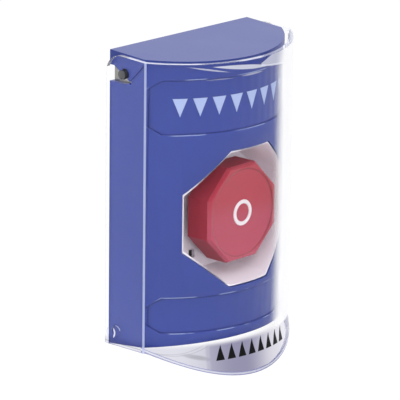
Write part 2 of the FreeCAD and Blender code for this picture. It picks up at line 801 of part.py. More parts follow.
def makeCap():
    """Octagonal head: bevelled edge, hollow skirt, shallow round dish and a raised ring."""
    body = newBody("capBody")
    bevel = cell("buttonBevel")
    skirt = newSketch(body, "XZ_Plane", "skirtShape", skirtEnd)
    regularOctagon(skirt, buttonHalf)
    grow(body, "Pad", skirt, buttonFace - bevel - skirtEnd, "skirtPad")
    edgeBack = newSketch(body, "XZ_Plane", "bevelBack", buttonFace - bevel)
    regularOctagon(edgeBack, buttonHalf)
    edgeFront = newSketch(body, "XZ_Plane", "bevelFront", buttonFace)
    regularOctagon(edgeFront, buttonHalf - bevel / 2)
    loft(body, "AdditiveLoft", [edgeBack, edgeFront], "bevelLoft")
    hollow = newSketch(body, "XZ_Plane", "hollowShape", skirtEnd)
    regularOctagon(hollow, buttonHalf - cell("skirtWall"))
    grow(body, "Pocket", hollow, crownBack - skirtEnd, "hollowCut", reverse=True)
    socket = newSketch(body, "XZ_Plane", "socketShape", crownBack)
    drawCircle(socket, 0, 0, cell("socketRadius"))
    drawCircle(socket, 0, 0, cell("stemRadius") + cell("fixedPlay"))
    grow(body, "Pad", socket, cell("socketLength"), "socketPad", reverse=True)
    dish = newSketch(body, "YZ_Plane", "dishShape")
    floor = buttonFace - cell("dishDepth")
    drawOutline(dish, ((-buttonFace - 1, 0), (-buttonFace - 1, cell("dishRadius")),
                       (-buttonFace, cell("dishRadius")),
                       (-floor, cell("dishRadius") - cell("dishEdge")), (-floor, 0)))
    spin(body, "Groove", dish, "dishCut")
    mark = newSketch(body, "XZ_Plane", "markShape", floor)
    drawCircle(mark, 0, 0, cell("markRadius"))
    drawCircle(mark, 0, 0, cell("markRadius") - cell("markWidth"))
    grow(body, "Pad", mark, cell("markProud"), "markPad")
    place(body, z=pushAxis)
    return body


keep(makeCap(), "button_cap")

keep(turned("stemBody", (
    (-crownBack, 0), (-crownBack, cell("stemRadius")), (-pusherFront, cell("stemRadius")),
    (-pusherFront, cell("pusherRadius")), (-pusherBack, cell("pusherRadius")), (-pusherBack, 0))),
    "push_stem")

guideRadius = cell("stemRadius") + cell("stemPlay")
pusherBore = cell("pusherRadius") + cell("travelPlay")
keep(turned("operatorShape", (
    (-collarFront, guideRadius), (-collarFront, cell("collarRadius")),
    (-collarFront + cell("collarThick"), cell("collarRadius")),
    (-collarFront + cell("collarThick"), cell("barrelRadius")),
    (-barrelEnd, cell("barrelRadius")), (-barrelEnd, pusherBore),
    (-shoulder, pusherBore), (-shoulder, guideRadius))), "operator_body")

barrelBore = cell("barrelRadius") + cell("barrelPlay")
boreCorner = barrelBore / math.cos(math.pi / boreSides)


def makeGasket():
    body = newBody("gasketBody")
    sketch = newSketch(body, "XZ_Plane", "gasketShape", floorDepth)
    drawSided(sketch, 0, 0, cell("gasketRadius"), boreSides)
    drawSided(sketch, 0, 0, boreCorner, boreSides)
    grow(body, "Pad", sketch, cell("gasketThick"), "gasketPad")
    place(body, z=pushAxis)
    return body


keep(makeGasket(), "collar_gasket")


def makeNut():
    body = newBody("nutBody")
    sketch = newSketch(body, "XZ_Plane", "nutShape", floorBack - cell("nutThick"))
    half = cell("nutFlats") / 2
    corner = half / math.cos(math.pi / 6)
    drawOutline(sketch, ((corner, 0), (corner / 2, half), (-corner / 2, half), (-corner, 0),
                         (-corner / 2, -half), (corner / 2, -half)))
    drawSided(sketch, 0, 0, boreCorner, boreSides)
    grow(body, "Pad", sketch, cell("nutThick"), "nutPad")
    place(body, z=pushAxis)
    return body


keep(makeNut(), "lock_nut")


def makeCarrier():
    body = newBody("carrierBody")
    sketch = newSketch(body, "XZ_Plane", "carrierShape", blockFront)
    wide, tall = cell("carrierWidth") / 2, cell("carrierTall") / 2
    drawBox(sketch, -wide, wide, -tall, tall)
    drawSided(sketch, 0, 0, boreCorner, boreSides)
    grow(body, "Pad", sketch, cell("carrierThick"), "carrierPad")
    place(body, z=pushAxis)
    return body


keep(makeCarrier(), "contact_carrier")


def makeBlock(name, side):
    """One contact block: a tunnel along Z with a ledge for each fixed contact."""
    body = newBody(name)
    half, tall = cell("blockWidth") / 2, cell("blockTall") / 2
    inside = half - cell("blockWall")
    backWall = blockBack + cell("blockBackWall")
    frontWall = blockFront - cell("blockWall")
    sketch = newSketch(body, "XZ_Plane", name + "Shape", blockBack)
    drawBox(sketch, -half, half, -tall, tall)
    grow(body, "Pad", sketch, blockFront - blockBack, name + "Pad")
    tunnel = newSketch(body, "XY_Plane", name + "Tunnel")
    drawBox(tunnel, -inside, inside, -frontWall, -backWall)
    grow(body, "Pocket", tunnel, 2 * tall + 1, name + "TunnelCut", both=True)
    for end, sign in (("Top", 1), ("Foot", -1)):
        ledge = newSketch(body, "XZ_Plane", name + "Ledge" + end, ledgeDepth)
        near, far = sign * cell("ledgeHeight"), sign * tall
        drawBox(ledge, -inside - cell("blockWall") / 2, inside + cell("blockWall") / 2, near, far)
        grow(body, "Pad", ledge, frontWall - ledgeDepth + cell("blockWall") / 2,
             name + "LedgePad" + end)
    access = newSketch(body, "XZ_Plane", name + "Access", blockBack)
    for sign in (1, -1):
        drawSided(access, 0, sign * cell("terminalScrewHeight"),
                  cell("terminalHeadRadius") + cell("accessPlay"), holeSides)
    grow(body, "Pocket", access, cell("blockBackWall"), name + "AccessCut", reverse=True)
    threads = newSketch(body, "XZ_Plane", name + "Threads", ledgeDepth)
    for sign in (1, -1):
        drawSided(threads, 0, sign * cell("terminalScrewHeight"),
                  cell("terminalScrewRadius") + cell("fixedPlay"), holeSides)
    grow(body, "Pocket", threads, frontWall - ledgeDepth, name + "ThreadCut", reverse=True)
    guide = newSketch(body, "XZ_Plane", name + "Guide", frontWall)
    drawCircle(guide, 0, 0, cell("plungerRadius") + cell("plungerPlay"))
    grow(body, "Pocket", guide, cell("blockWall"), name + "GuideCut", reverse=True)
    place(body, side * cell("blockOffset"), 0, pushAxis)
    return body


bridgeBack = blockFront - cell("bridgeSet")
bridgeFront = bridgeBack + cell("bridgeThick")
plungerEnd = blockFront - cell("plungerReach")


def makePlunger(name, side):
    body = turned(name, (
        (-pusherBack, 0), (-pusherBack, cell("plungerRadius")),
        (-bridgeFront, cell("plungerRadius")), (-bridgeFront, cell("neckRadius")),
        (-plungerEnd, cell("neckRadius")), (-plungerEnd, 0)))
    place(body, side * cell("blockOffset"), 0, pushAxis)
    return body


def makeBridge(name, side):
    body = newBody(name)
    sketch = newSketch(body, "XZ_Plane", name + "Shape", bridgeBack)
    wide, tall = cell("bridgeWidth") / 2, cell("bridgeHalf")
    drawBox(sketch, -wide, wide, -tall, tall)
    drawCircle(sketch, 0, 0, cell("neckRadius") + cell("pinPlay"))
    grow(body, "Pad", sketch, cell("bridgeThick"), name + "Pad")
    place(body, side * cell("blockOffset"), 0, pushAxis)
    return body


def makeContact(name, side, sign, closed):
    """A fixed contact. The closed kind steps forward to stand in front of the bridge."""
    body = newBody(name)
    sketch = newSketch(body, "YZ_Plane", name + "Shape", -cell("contactWidth") / 2)
    thick = cell("contactThick")
    seat = -ledgeDepth
    inner, outer = sign * cell("contactInner"), sign * cell("contactOuter")
    if closed:
        rise, inside = sign * cell("riserHeight"), sign * (cell("riserHeight") + thick)
        face = -(bridgeFront + cell("contactGap"))
        drawOutline(sketch, (
            (face, inner), (face, rise), (seat + thick, rise), (seat + thick, outer),
            (seat, outer), (seat, inside), (face - thick, inside), (face - thick, inner)))
    else:
        drawBox(sketch, seat, seat + thick, inner, outer)
    grow(body, "Pad", sketch, cell("contactWidth"), name + "Pad")
    screw = newSketch(body, "XZ_Plane", name + "Hole", ledgeDepth)
    drawSided(screw, 0, sign * cell("terminalScrewHeight"),
              cell("terminalScrewRadius") + cell("fixedPlay"), holeSides)
    grow(body, "Pocket", screw, thick, name + "HoleCut")
    place(body, side * cell("blockOffset"), 0, pushAxis)
    return body


def makeTerminalScrews():
    screws = []
    seat = -ledgeDepth + cell("contactThick")
    for index, (side, sign) in enumerate(((-1, -1), (1, -1), (-1, 1), (1, 1))):
        centre = (side * cell("blockOffset"), pushAxis + sign * cell("terminalScrewHeight"))
        screws.append(rod("terminalShank%d" % index, cell("terminalScrewRadius"),
                          seat - cell("terminalShankLength"), seat, *centre))
        screws.append(rod("terminalHead%d" % index, cell("terminalHeadRadius"), seat,
                          seat + cell("terminalHeadThick"), *centre, sides=headSides))
    return fuse("terminalScrews", screws)


def makeSpring(name, back, front, radius, wire, turns, x):
    """A spring along Y between two depths: wire of six sides, its turns of short straight runs."""
    clear = wire / 2 + cell("fixedPlay")
    length = front - back - 2 * clear
    steps = int(round(turns.value * cell("springRuns").value))
    climb = length.value / steps
    turn = 2 * math.pi * turns.value / steps
    path = [Vector(radius.value * math.cos(turn * index), radius.value * math.sin(turn * index),
                   climb * index) for index in range(steps + 1)]
    section = []
    for index in range(6):
        angle = index * math.pi / 3
        section.append(path[0] + Vector(wire.value / 2 * math.cos(angle), 0,
                                        wire.value / 2 * math.sin(angle)))
    ring = Part.makePolygon(section + [section[0]])
    coil = doc.addObject("Part::Feature", name)
    coil.Shape = Part.makePolygon(path).makePipeShell([ring], True, True, 1)
    place(coil, x, -(back + clear), pushAxis, Rotation(Vector(1, 0, 0), 90))
    return coil


for word, side, closed in (("left", -1, False), ("right", 1, True)):
    keep(makeBlock("block" + word, side), "contact_block_" + word)
    keep(makePlunger("plunger" + word, side), "plunger_" + word)
    keep(makeBridge("bridge" + word, side), "contact_bridge_" + word)
    for end, sign in (("top", 1), ("bottom", -1)):
        keep(makeContact("contact" + word + end, side, sign, closed),
             "fixed_contact_%s_%s" % (word, end))
    backWall = blockBack + cell("blockBackWall")
    keep(makeSpring("contactSpring" + word, backWall, bridgeBack, cell("contactSpringRadius"),
                    cell("contactSpringWire"), cell("contactSpringTurns"),
                    side * cell("blockOffset")), "contact_spring_" + word)
keep(makeTerminalScrews(), "terminal_screws")
keep(makeSpring("returnSpring", collarFront, crownBack, cell("springRadius"),
                cell("springWire"), cell("springTurns"), 0), "return_spring")

doc.recompute()
faults = [thing.Name for thing in doc.Objects if set(thing.State) & {"Invalid", "Error"}]
if faults:
    raise SystemExit("not built: " + ", ".join(faults))
for name, piece in nodes:
    if piece.Shape.isNull() or not piece.Shape.isValid():
        raise SystemExit("bad shape: " + name)
os.makedirs("parts", exist_ok=True)
for name, piece in nodes:
    piece.Shape.exportStep("parts/%s.step" % name)
    print(name, len(piece.Shape.Solids), round(piece.Shape.Volume, 1))
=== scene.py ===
import bpy
import json
import math
from mathutils import Matrix, Vector


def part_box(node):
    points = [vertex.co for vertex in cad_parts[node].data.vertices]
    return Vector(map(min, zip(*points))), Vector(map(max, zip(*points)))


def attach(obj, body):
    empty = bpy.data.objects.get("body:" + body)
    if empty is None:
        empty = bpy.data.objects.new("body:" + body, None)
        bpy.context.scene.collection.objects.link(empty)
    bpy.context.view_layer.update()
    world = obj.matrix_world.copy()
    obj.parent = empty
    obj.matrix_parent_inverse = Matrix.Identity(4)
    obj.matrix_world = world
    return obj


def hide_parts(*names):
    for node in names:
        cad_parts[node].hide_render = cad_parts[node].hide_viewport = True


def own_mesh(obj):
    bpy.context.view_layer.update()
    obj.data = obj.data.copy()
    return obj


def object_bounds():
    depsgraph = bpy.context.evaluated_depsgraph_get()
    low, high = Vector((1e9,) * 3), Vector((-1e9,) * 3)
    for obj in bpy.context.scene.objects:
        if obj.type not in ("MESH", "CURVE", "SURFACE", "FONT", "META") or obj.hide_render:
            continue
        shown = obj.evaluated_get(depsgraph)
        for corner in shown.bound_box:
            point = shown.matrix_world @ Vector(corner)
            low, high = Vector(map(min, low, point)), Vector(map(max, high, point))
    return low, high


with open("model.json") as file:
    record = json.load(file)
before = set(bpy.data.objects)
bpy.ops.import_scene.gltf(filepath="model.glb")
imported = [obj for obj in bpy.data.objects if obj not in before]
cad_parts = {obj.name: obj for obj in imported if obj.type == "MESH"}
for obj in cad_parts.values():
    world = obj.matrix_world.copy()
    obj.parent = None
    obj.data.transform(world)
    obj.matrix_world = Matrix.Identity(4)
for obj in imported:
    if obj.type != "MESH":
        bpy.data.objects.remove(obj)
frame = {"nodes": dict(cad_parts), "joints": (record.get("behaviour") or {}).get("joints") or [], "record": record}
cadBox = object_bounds()
nodes = frame["nodes"]
mm = 0.001
print("frame loaded:", len(nodes), "nodes")

# Shader helpers


class Wire:  # a node's output; sums and products with it become Math nodes
    def __init__(self, tree, socket):
        self.tree = tree
        self.socket = socket

    def math(self, operation, *values):
        made = self.tree.nodes.new("ShaderNodeMath")
        made.operation = operation
        for socket, value in zip(made.inputs, values):
            plug(self.tree, socket, value)
        return Wire(self.tree, made.outputs[0])

    def __add__(self, other):
        return self.math("ADD", self, other)

    def __radd__(self, other):
        return self.math("ADD", other, self)

    def __sub__(self, other):
        return self.math("SUBTRACT", self, other)

    def __rsub__(self, other):
        return self.math("SUBTRACT", other, self)

    def __mul__(self, other):
        return self.math("MULTIPLY", self, other)

    def __rmul__(self, other):
        return self.math("MULTIPLY", other, self)

    def __abs__(self):
        return self.math("ABSOLUTE", self)

    def __lt__(self, other):
        return self.math("LESS_THAN", self, other)

    def __gt__(self, other):
        return self.math("GREATER_THAN", self, other)


def plug(tree, socket, value):
    if isinstance(value, Wire):
        tree.links.new(value.socket, socket)
    else:
        socket.default_value = value


def larger(first, second):
    return first.math("MAXIMUM", first, second)


class Finish:  # a material under construction
    def __init__(self, name, world=False):
        kind = bpy.data.worlds if world else bpy.data.materials
        self.material = kind.new(name)
        self.material.use_nodes = True
        self.tree = self.material.node_tree
        self.tree.nodes.clear()
        self.out = self.tree.nodes.new("ShaderNodeOutputWorld" if world else "ShaderNodeOutputMaterial")

    def node(self, kind, settings=None, inputs=None, output=0):
        made = self.tree.nodes.new("ShaderNode" + kind)
        for key, value in (settings or {}).items():
            setattr(made, key, value)
        for key, value in (inputs or {}).items():
            plug(self.tree, made.inputs[key], value)
        return Wire(self.tree, made.outputs[output])

    def times(self, vector, factors):
        return self.node("VectorMath", {"operation": "MULTIPLY"}, {0: vector, 1: factors})

    def split(self, vector):
        return [self.node("SeparateXYZ", {}, {0: vector}, axis) for axis in range(3)]

    def length(self, across, up):  # how far a point is from an axis
        flat = self.node("CombineXYZ", {}, {0: across, 1: up})
        return self.node("VectorMath", {"operation": "LENGTH"}, {0: flat}, 1)

    def place(self):  # where a point of the surface is on the part, in metres
        return self.node("TexCoord", output=3)

    def placeInMm(self):  # the same as x, y and z in mm
        return self.split(self.times(self.place(), (1 / mm, 1 / mm, 1 / mm)))

    def noise(self, scale, detail=2.0, factors=None):
        where = self.times(self.place(), factors) if factors else self.place()
        return self.node("TexNoise", {}, {"Vector": where, "Scale": scale, "Detail": detail})

    def ramp(self, value, low, high, start=0.0, end=1.0):
        return self.node("MapRange", {"interpolation_type": "SMOOTHSTEP"}, {
            "Value": value, "From Min": low, "From Max": high, "To Min": start, "To Max": end})

    def blendColours(self, mask, first, second):
        return self.node("Mix", {"data_type": "RGBA"}, {0: mask, 6: first, 7: second}, 2)

    def blendShaders(self, mask, first, second):
        return self.node("MixShader", {}, {0: mask, 1: first, 2: second})

    def surface(self, shader):
        plug(self.tree, self.out.inputs["Surface"], shader)
        return self.material


def colour(red, green, blue):  # a screen colour 0-255 as a linear one
    def straight(level):
        level = level / 255
        return level / 12.92 if level <= 0.04045 else ((level + 0.055) / 1.055) ** 2.4
    return (straight(red), straight(green), straight(blue), 1.0)


def shade(tint, share):
    return tuple(channel * share for channel in tint[:3]) + (1.0,)


# Sizes, in mm

housingLow, housingHigh = (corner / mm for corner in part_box("housing"))
capLow, capHigh = (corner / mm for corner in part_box("button_cap"))
joints = {joint["name"]: joint for joint in frame["joints"]}
hinge = Vector(joints["shield_lift"]["pos_m"]) / mm
pressTravel = joints["button_press"]["range_m"][1] / mm
pushHeight = (capLow.z + capHigh.z) / 2

body = {  # the housing's plan
    "half": housingHigh.x,
    "front": -housingLow.y,
    "side": 19.2,  # how deep the flat sides are
    "low": housingLow.z,
}
bulge = body["front"] - body["side"]
body["radius"] = (body["half"] ** 2 + bulge ** 2) / (2 * bulge)
body["centre"] = body["radius"] - body["front"]  # the front arc's middle lies behind the wall

cover = {  # the shield
    "wall": 2.0,
    "gap": 0.65,  # beside the housing
    "frontGap": 1.7,
    "innerEdge": 1.2,  # the inner radius of the upright side corners
    "low": body["low"] + 0.8,
    "crest": 8.0,  # the radius of the rounded corner above the hinge
    "crestSlope": 2.2 / 41.7,
    "hingeY": hinge.y,
    "hingeZ": hinge.z,
    "tongueDrop": 12.6,
    "tongueFlare": 1.6,
    "tongueInset": 1.15,
    "rimRounding": 0.4,
    "boreRadius": 2.05,
    "boreDepth": 1.5,
    "studRadius": 2.4,
    "studProud": 0.4,
    "studPlace": (-4.6, -56.0),
    "sideSteps": 10,
    "crestSteps": 10,
    "edgeSteps": 6,
    "frontSteps": 72,
    # shares of the height, closer together on the tongue
    "rows": (0, 0.016, 0.032, 0.048, 0.064, 0.08, 0.096, 0.112, 0.14, 0.25, 0.4, 0.55, 0.7, 0.85,
             0.95, 1),
}
innerHalf = body["half"] + cover["gap"]
outerHalf = innerHalf + cover["wall"]
innerRadius = body["radius"] + cover["frontGap"]
outerRadius = innerRadius + cover["wall"]
tongueHalf = outerHalf - cover["tongueInset"]
tongueRadius = (tongueHalf ** 2 + cover["tongueDrop"] ** 2) / (2 * cover["tongueDrop"])
tongueCentre = cover["low"] - cover["tongueDrop"] + tongueRadius  # how high its arc's middle is

# Colours

tints = {
    "housing": colour(47, 65, 145),
    # painted shade along the label recesses' steps
    "labelShade": colour(30, 42, 120),
    # the printed marks' colour, also used for the painted highlight beside the label recesses' steps
    "print": colour(170, 186, 226),
    "ink": colour(24, 24, 28),
    "bezel": colour(250, 246, 254),
    "button": colour(172, 42, 62),
    # painted sheen, a reflection on the lower part of the button's face
    "buttonPaintedSheen": colour(176, 60, 84),
    "buttonRing": colour(236, 228, 232),
    "stem": colour(232, 232, 228),
    "black": colour(30, 31, 33),
    # rose grey rather than black: painted reddish shade where the collar shows in the funnel
    "operator": colour(98, 66, 80),
    "green": colour(40, 132, 74),
    "redBlock": colour(178, 40, 38),
    "steel": (0.62, 0.61, 0.60, 1.0),
    "darkPin": (0.08, 0.08, 0.084, 1.0),
    "zinc": (0.70, 0.68, 0.62, 1.0),
    "brass": (0.78, 0.60, 0.28, 1.0),
    "shield": (0.99, 0.99, 1.0, 1.0),
    # painted highlights on the shield's rim and corners, painted shade on its hinge edges and foot
    "edgeLight": (0.84, 0.86, 0.98, 1.0),
    "cornerLight": (0.60, 0.67, 0.95, 1.0),
    "hingeEdgeShade": (0.50, 0.49, 0.55, 1.0),
    "footShade": (0.33, 0.33, 0.62, 1.0),
    # painted shade on the tongue: pale at the left and right, darker lilac in the middle, darker still at its
    # curved line and shade patch
    "tongueLeft": (0.74, 0.74, 0.82, 1.0),
    "tongueMiddle": (0.30, 0.29, 0.42, 1.0),
    "tongueRight": (0.78, 0.77, 0.84, 1.0),
    "tongueLineAndShade": (0.30, 0.30, 0.34, 1.0),
    # painted glare, which also glows a little
    "glare": (0.98, 0.98, 0.99, 1.0),
    "glareGlow": (0.97, 0.97, 1.0, 1.0),
    "clearShadow": (0.98, 0.98, 0.99, 1.0),
    "floor": (0.9, 0.9, 0.9, 1.0),
    "white": (1.0, 1.0, 1.0, 1.0),
}

# Plain plastics and metals

mouldedPlastic = {
    "grainScale": 2600.0,
    "grainDepth": 0.006 * mm,
    "grainStrength": 0.2,
    "cloudScale": 40.0,
    "cloudContrast": 0.04,
    "roughnessSpread": 0.1,
    "edgeRadius": 0.35 * mm,
    "edgeSamples": 4,
}


def mouldedBase(name, tint, roughness, grain=1.0):
    # a new finish with its slightly uneven tone, fine grain and roughness
    finish = Finish(name)
    values = mouldedPlastic
    cloud = finish.noise(values["cloudScale"], 3.0)
    contrast, spread = values["cloudContrast"], values["roughnessSpread"]
    tone = finish.blendColours(cloud, shade(tint, 1 - contrast), shade(tint, 1 + contrast))
    rounded = finish.node("Bevel", {"samples": values["edgeSamples"]}, {
        "Radius": values["edgeRadius"]})
    relief = finish.node("Bump", {}, {
        "Strength": values["grainStrength"] * grain, "Distance": values["grainDepth"],
        "Height": finish.noise(values["grainScale"]), "Normal": rounded})
    return finish, tone, relief, roughness - spread / 2 + spread * cloud


def plastic(name, tint, roughness, grain=1.0):
    finish, tone, relief, rough = mouldedBase(name, tint, roughness, grain)
    return finish.surface(finish.node("BsdfPrincipled", {}, {
        "Base Color": tone, "Roughness": rough, "Normal": relief}))


brushedMetal = {
    "lineScale": 900.0,
    "lineDepth": 0.02 * mm,
    "lineStrength": 0.3,
    "wearScale": 60.0,
    "wornShade": 0.86,
    "roughnessSpread": 0.12,
}


def metal(name, tint, roughness, brushed=(1.0, 1.0, 1.0)):
    # the smallest of the brushed factors is the way that the lines run
    finish = Finish(name)
    values = brushedMetal
    lines = finish.noise(values["lineScale"], 4.0, brushed)
    wear = finish.noise(values["wearScale"], 3.0)
    spread = values["roughnessSpread"]
    relief = finish.node("Bump", {}, {
        "Strength": values["lineStrength"], "Distance": values["lineDepth"], "Height": lines})
    return finish.surface(finish.node("BsdfPrincipled", {}, {
        "Base Color": finish.blendColours(wear, shade(tint, values["wornShade"]), tint),
        "Metallic": 1.0, "Roughness": roughness - spread / 2 + spread * lines, "Normal": relief}))


# Clear plastic, with painted light and shade on its edges and its front

clearSheet = {
    "index": 1.01,  # with a real index the walls would show a doubled housing
    "coatRoughness": 0.02,
    "litIndex": 1.5,
    "litRoughness": 0.08,
    "litSpread": 0.06,
    "litClearness": 0.3,
    "cloudScale": 300.0,
    "edgeContrast": 0.04,
}
# the front rim's painted highlight, strong at the left and fading along it
rimGlow = {  # where the front rim is lit: from and to in mm, and where given the level at each
    "leftPlace": (-24.5, -28.5, 0.12, 0.9),
    "middleStart": (-13.0, -9.0),
    "middleEnd": (4.0, 0.5, 0.0, 0.7),
    "above": 57.0,
    "before": -24.0,
}


def clearPlastic(finish, tint, coat):
    return finish.node("BsdfPrincipled", {}, {
        "Base Color": tint, "Transmission Weight": 1.0, "IOR": clearSheet["index"],
        "Roughness": 0.0, "Coat Weight": coat, "Coat Roughness": clearSheet["coatRoughness"]})


# a pale, partly clear finish that paints highlights and shade
def paintedLightAndShade(finish, tint, clearness):
    cloud = finish.noise(clearSheet["cloudScale"])
    return finish.node("BsdfPrincipled", {}, {
        "Base Color": tint, "Roughness": clearSheet["litRoughness"] + clearSheet["litSpread"] * cloud,
        "Transmission Weight": clearness, "IOR": clearSheet["litIndex"]})


def shadowless(finish, shader):
    # clear pieces let the lamps' light through
    passed = finish.node("BsdfTransparent", {}, {"Color": tints["clearShadow"]})
    shadowRay = finish.node("LightPath", output=1)
    return finish.surface(finish.blendShaders(shadowRay, shader, passed))


# the shield's rounded edges in painted light and shade of the given tint; on the front rim the painted highlight
# fades by place
def paintedEdge(name, tint, frontFades=False):
    finish = Finish(name)
    cloud = finish.noise(clearSheet["cloudScale"])
    tone = finish.blendColours(cloud, shade(tint, 1 - clearSheet["edgeContrast"]), tint)
    bright = paintedLightAndShade(finish, tone, clearSheet["litClearness"])
    if frontFades:
        x, y, z = finish.placeInMm()
        middle = finish.ramp(x, *rimGlow["middleStart"]) * finish.ramp(x, *rimGlow["middleEnd"])
        glow = finish.ramp(x, *rimGlow["leftPlace"]) + middle
        front = (z > rimGlow["above"]) * (y < rimGlow["before"])
        clear = clearPlastic(finish, tints["shield"], 1.0)
        bright = finish.blendShaders(1 - front * (1 - glow), clear, bright)
    return shadowless(finish, bright)


# painted shade on the lift tongue
tonguePaint = {  # shades on the lift tongue: from and to in mm, and where given the level at each
    "top": (-57.4, -59.6),
    "leftFade": (-36.0, -10.0, 0.0, 0.6),
    "step": (-23.6, -22.4, 0.0, 0.4),
    "rightFade": (-6.0, 16.0),
    "curvePlace": (-35.0, -62.1),
    "curveBend": 0.026,
    "curveWidth": (0.3, 0.08, 0.0, 0.5),
    "shadePlace": (-27.0, -63.5),
    "shadeSlope": 0.26,
    "shadeFlatness": 0.2,
    "shadeSize": (1.3 ** 2, 0.3 ** 2, 0.0, 0.55),  # squared
    "marksEnd": -22.9,
}


def tongueTone(finish, x, z):
    # painted shade: darker lilac from the step on, with a faint darker curved line and a soft patch of painted
    # shade left of it
    paint = tonguePaint
    paintedShade = finish.ramp(x, *paint["leftFade"]) + finish.ramp(x, *paint["step"])
    tone = finish.blendColours(paintedShade, tints["tongueLeft"], tints["tongueMiddle"])
    tone = finish.blendColours(finish.ramp(x, *paint["rightFade"]), tone, tints["tongueRight"])
    along, up = x - paint["curvePlace"][0], z - paint["curvePlace"][1]
    curveLine = finish.ramp(abs(up - along * along * paint["curveBend"]), *paint["curveWidth"])
    along, up = x - paint["shadePlace"][0], z - paint["shadePlace"][1]
    up = up + along * paint["shadeSlope"]
    along = along * paint["shadeFlatness"]
    shadePatch = finish.ramp(along * along + up * up, *paint["shadeSize"])
    return finish.blendColours(larger(curveLine, shadePatch) * (x < paint["marksEnd"]), tone,
                               tints["tongueLineAndShade"])


# painted reflections on the shield's top front
frontLight = {  # light caught by the shield's top front, in mm
    # height at the middle, slope, half width, from x, to x, strength
    "streaks": (
        (56.2, -0.11, 0.95, -23.0, 6.0, 0.8),
        (56.2, -0.115, 0.38, 0.0, 24.0, 0.95),
        (52.57, -0.208, 0.33, -32.0, -16.0, 0.6),
        (53.85, 0.02, 0.42, -10.5, 1.8, 0.45),
        (53.4, 0.0, 0.22, -26.0, -14.0, 0.3),
    ),
    "blur": 0.12,
    "cornerStart": 0.5,
    "cornerFoot": (-0.11, 56.2),  # slope and height
    "cornerHead": (0.35, 57.1),
    "cornerTop": 60.2,
    "cornerFade": (26.0, 17.0, 0.0, 0.7),
}


def paintedFront(finish, x, z):
    # painted reflections: long pointed streaks below the rim, and the pale corner right of them
    paint = frontLight
    light = 0.0
    for height, slope, thick, start, end, strength in paint["streaks"]:
        along = (x - (start + end) / 2) * (2 / (end - start))
        width = (1 - along * along) * thick
        offLine = abs(z - (x * slope + height))
        light = finish.ramp(offLine - width, paint["blur"], -paint["blur"], 0, strength) + light
    footSlope, footHeight = paint["cornerFoot"]
    headSlope, headHeight = paint["cornerHead"]
    corner = ((x > paint["cornerStart"]) * (z > x * footSlope + footHeight)
              * (z < x * headSlope + headHeight) * (z < paint["cornerTop"]))
    return light + corner * finish.ramp(x, *paint["cornerFade"])


# painted highlight along the tongue's edge, with a band of painted shade in it
footLight = {"tall": 1.5, "band": (0.45, 1.15), "strength": 0.8}  # in mm above the tongue's edge
# painted highlight in two arcs over the stud
studLight = {  # two arcs on the side wall over the stud
    "behind": 0.8,  # in mm
    "halfWidth": 0.4,
    "ring": 0.9,  # a share of the stud's radius
    "open": 0.6,
}
glareLight = {"blend": 0.5, "grazing": (0.49, 0.66, 0.0, 0.9), "roughness": 0.4, "glow": 0.22}
skin = 0.7 * cover["wall"]  # a point farther out in a wall than this is on its outer face


def coverFinish():
    finish = Finish("clearCover")
    x, y, z = finish.placeInMm()
    outside = finish.length(x, y - body["centre"]) > innerRadius + skin
    beside = abs(x) > innerHalf + skin
    onTongue = finish.ramp(z, *tonguePaint["top"])
    tone = finish.blendColours(onTongue, tints["shield"], tongueTone(finish, x, z))
    glass = clearPlastic(finish, tone, larger(outside, beside))

    insideArc = tongueRadius ** 2 - x * x
    aboveEdge = z - (tongueCentre - insideArc.math("SQRT", insideArc))
    foot = (aboveEdge < footLight["tall"]) * outside
    band = (aboveEdge > footLight["band"][0]) * (aboveEdge < footLight["band"][1])
    # painted highlight along the tongue's edge, painted shade in the band
    tone = finish.blendColours(foot * (1 - band), tints["edgeLight"], tints["footShade"])

    # painted highlight: two arcs on the side wall over the stud
    studY, studZ = cover["studPlace"]
    depth, radius = y - (studY + studLight["behind"]), cover["studRadius"]
    ring = abs(finish.length(depth, z - studZ) - studLight["ring"] * radius)
    arcs = (ring < studLight["halfWidth"]) * (abs(depth) > studLight["open"] * radius)

    # all painted light on the outer face and over the studs, in one mask
    light = paintedFront(finish, x, z) + foot * footLight["strength"]
    painted = finish.node("Clamp", {}, {0: light * outside + arcs * beside})
    plate = finish.blendShaders(painted, glass, paintedLightAndShade(finish, tone, 0.0))

    # painted glare: where the outer face turns away from view it turns pale and glows a little
    grazing = finish.node("LayerWeight", {}, {"Blend": glareLight["blend"]}, 1)
    glare = finish.node("BsdfPrincipled", {}, {
        "Base Color": tints["glare"], "Roughness": glareLight["roughness"],
        "Emission Color": tints["glareGlow"], "Emission Strength": glareLight["glow"]})
    glaring = finish.ramp(grazing, *glareLight["grazing"]) * outside * (1 - onTongue)
    return shadowless(finish, finish.blendShaders(glaring, plate, glare))


# Housing, with its two label recesses

# the label recesses, and the painted shade and painted highlight along their steps
labels = {  # in mm
    "middles": (41.55, -46.1),
    "halfHeights": (11.35, 7.5),
    "halfWidth": 40.4,
    "clip": (3.6, 3.2),  # how far each corner is cut off, across and up
    "shadeWidth": 0.5,
    "lightWidth": 0.4,
    "strength": 0.6,
    "dashScale": 90.0,
    "dashFactors": (1, 1, 0.1),
    "dashLevels": (0.5, 0.62),
}


